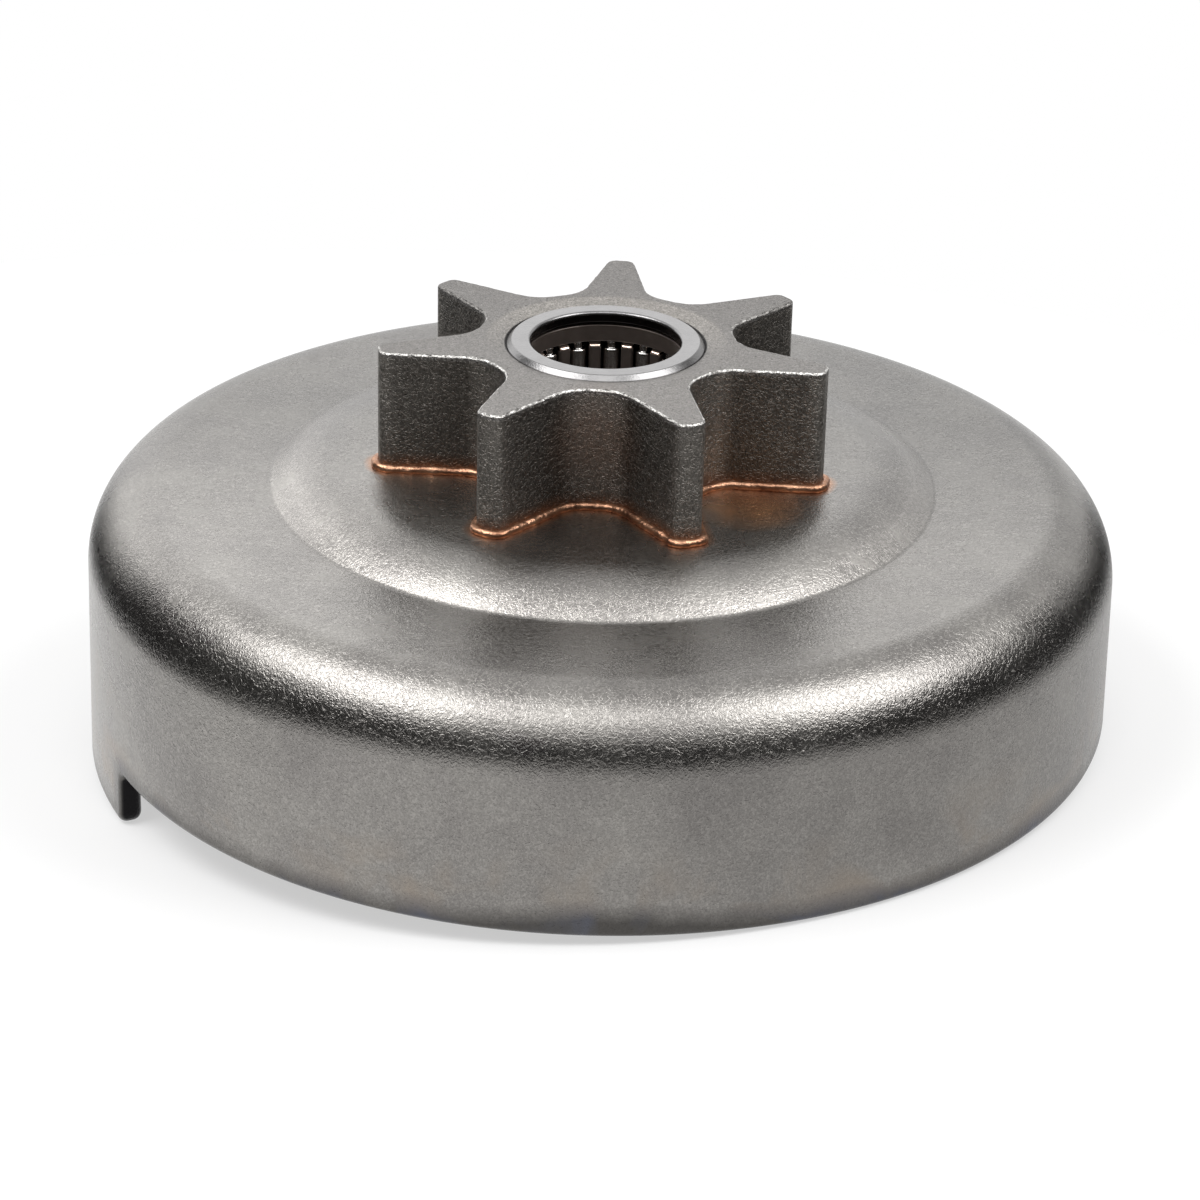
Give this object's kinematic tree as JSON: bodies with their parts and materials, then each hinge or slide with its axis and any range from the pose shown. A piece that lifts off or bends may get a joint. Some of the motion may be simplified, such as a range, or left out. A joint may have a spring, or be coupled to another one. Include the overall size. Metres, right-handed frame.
{
  "type": "chainsaw clutch drum",
  "caption": "Pressed clutch drum with a drive tab on its rim, a brazed-on spur sprocket for the saw chain and a pressed-in needle bearing.",
  "frame": {"origin": "centre of the drum's open rim, in the plane of the rim", "axes": "+Z along the drum's axis, from the open rim towards the sprocket"},
  "size_m": [0.084, 0.084, 0.0352],
  "materials": {
    "pressed_steel": "tumbled, heat tinted",
    "sintered_steel": "sintered, matt",
    "copper_braze": "copper braze",
    "bearing_steel": "drawn, polished",
    "cage_steel": "dark phosphated",
    "roller_steel": "ground"
  },
  "bodies": {
    "drum": {"drum_cup": "pressed_steel", "sprocket": "sintered_steel", "braze_fillet": "copper_braze", "bearing_shell": "bearing_steel"},
    "cage": {"needle_cage": "cage_steel"},
    "roller_01": {"roller_01": "roller_steel"},
    "roller_02": {"roller_02": "roller_steel"},
    "roller_03": {"roller_03": "roller_steel"},
    "roller_04": {"roller_04": "roller_steel"},
    "roller_05": {"roller_05": "roller_steel"},
    "roller_06": {"roller_06": "roller_steel"},
    "roller_07": {"roller_07": "roller_steel"},
    "roller_08": {"roller_08": "roller_steel"},
    "roller_09": {"roller_09": "roller_steel"},
    "roller_10": {"roller_10": "roller_steel"},
    "roller_11": {"roller_11": "roller_steel"},
    "roller_12": {"roller_12": "roller_steel"},
    "roller_13": {"roller_13": "roller_steel"},
    "roller_14": {"roller_14": "roller_steel"},
    "roller_15": {"roller_15": "roller_steel"}
  },
  "joints": [
    {"name": "cage_spin", "type": "hinge", "parent": "drum", "child": "cage", "pos_m": [0, 0, 0.0248], "axis": [0, 0, 1], "continuous": true},
    {"name": "roller_01_spin", "type": "hinge", "parent": "cage", "child": "roller_01", "pos_m": [0.00655, 0.00163, 0.0248], "axis": [0, 0, 1], "continuous": true},
    {"name": "roller_02_spin", "type": "hinge", "parent": "cage", "child": "roller_02", "pos_m": [0.00532, 0.00416, 0.0248], "axis": [0, 0, 1], "continuous": true},
    {"name": "roller_03_spin", "type": "hinge", "parent": "cage", "child": "roller_03", "pos_m": [0.00317, 0.00596, 0.0248], "axis": [0, 0, 1], "continuous": true},
    {"name": "roller_04_spin", "type": "hinge", "parent": "cage", "child": "roller_04", "pos_m": [0.00047, 0.00673, 0.0248], "axis": [0, 0, 1], "continuous": true},
    {"name": "roller_05_spin", "type": "hinge", "parent": "cage", "child": "roller_05", "pos_m": [-0.00231, 0.00634, 0.0248], "axis": [0, 0, 1], "continuous": true},
    {"name": "roller_06_spin", "type": "hinge", "parent": "cage", "child": "roller_06", "pos_m": [-0.00469, 0.00486, 0.0248], "axis": [0, 0, 1], "continuous": true},
    {"name": "roller_07_spin", "type": "hinge", "parent": "cage", "child": "roller_07", "pos_m": [-0.00626, 0.00253, 0.0248], "axis": [0, 0, 1], "continuous": true},
    {"name": "roller_08_spin", "type": "hinge", "parent": "cage", "child": "roller_08", "pos_m": [-0.00675, -0.00024, 0.0248], "axis": [0, 0, 1], "continuous": true},
    {"name": "roller_09_spin", "type": "hinge", "parent": "cage", "child": "roller_09", "pos_m": [-0.00607, -0.00296, 0.0248], "axis": [0, 0, 1], "continuous": true},
    {"name": "roller_10_spin", "type": "hinge", "parent": "cage", "child": "roller_10", "pos_m": [-0.00434, -0.00517, 0.0248], "axis": [0, 0, 1], "continuous": true},
    {"name": "roller_11_spin", "type": "hinge", "parent": "cage", "child": "roller_11", "pos_m": [-0.00186, -0.00649, 0.0248], "axis": [0, 0, 1], "continuous": true},
    {"name": "roller_12_spin", "type": "hinge", "parent": "cage", "child": "roller_12", "pos_m": [0.00094, -0.00668, 0.0248], "axis": [0, 0, 1], "continuous": true},
    {"name": "roller_13_spin", "type": "hinge", "parent": "cage", "child": "roller_13", "pos_m": [0.00358, -0.00572, 0.0248], "axis": [0, 0, 1], "continuous": true},
    {"name": "roller_14_spin", "type": "hinge", "parent": "cage", "child": "roller_14", "pos_m": [0.0056, -0.00378, 0.0248], "axis": [0, 0, 1], "continuous": true},
    {"name": "roller_15_spin", "type": "hinge", "parent": "cage", "child": "roller_15", "pos_m": [0.00665, -0.00117, 0.0248], "axis": [0, 0, 1], "continuous": true}
  ],
  "couplings": [
    {"joint": "roller_01_spin", "follows": "cage_spin", "ratio": -10.417},
    {"joint": "roller_02_spin", "follows": "cage_spin", "ratio": -10.417},
    {"joint": "roller_03_spin", "follows": "cage_spin", "ratio": -10.417},
    {"joint": "roller_04_spin", "follows": "cage_spin", "ratio": -10.417},
    {"joint": "roller_05_spin", "follows": "cage_spin", "ratio": -10.417},
    {"joint": "roller_06_spin", "follows": "cage_spin", "ratio": -10.417},
    {"joint": "roller_07_spin", "follows": "cage_spin", "ratio": -10.417},
    {"joint": "roller_08_spin", "follows": "cage_spin", "ratio": -10.417},
    {"joint": "roller_09_spin", "follows": "cage_spin", "ratio": -10.417},
    {"joint": "roller_10_spin", "follows": "cage_spin", "ratio": -10.417},
    {"joint": "roller_11_spin", "follows": "cage_spin", "ratio": -10.417},
    {"joint": "roller_12_spin", "follows": "cage_spin", "ratio": -10.417},
    {"joint": "roller_13_spin", "follows": "cage_spin", "ratio": -10.417},
    {"joint": "roller_14_spin", "follows": "cage_spin", "ratio": -10.417},
    {"joint": "roller_15_spin", "follows": "cage_spin", "ratio": -10.417}
  ]
}
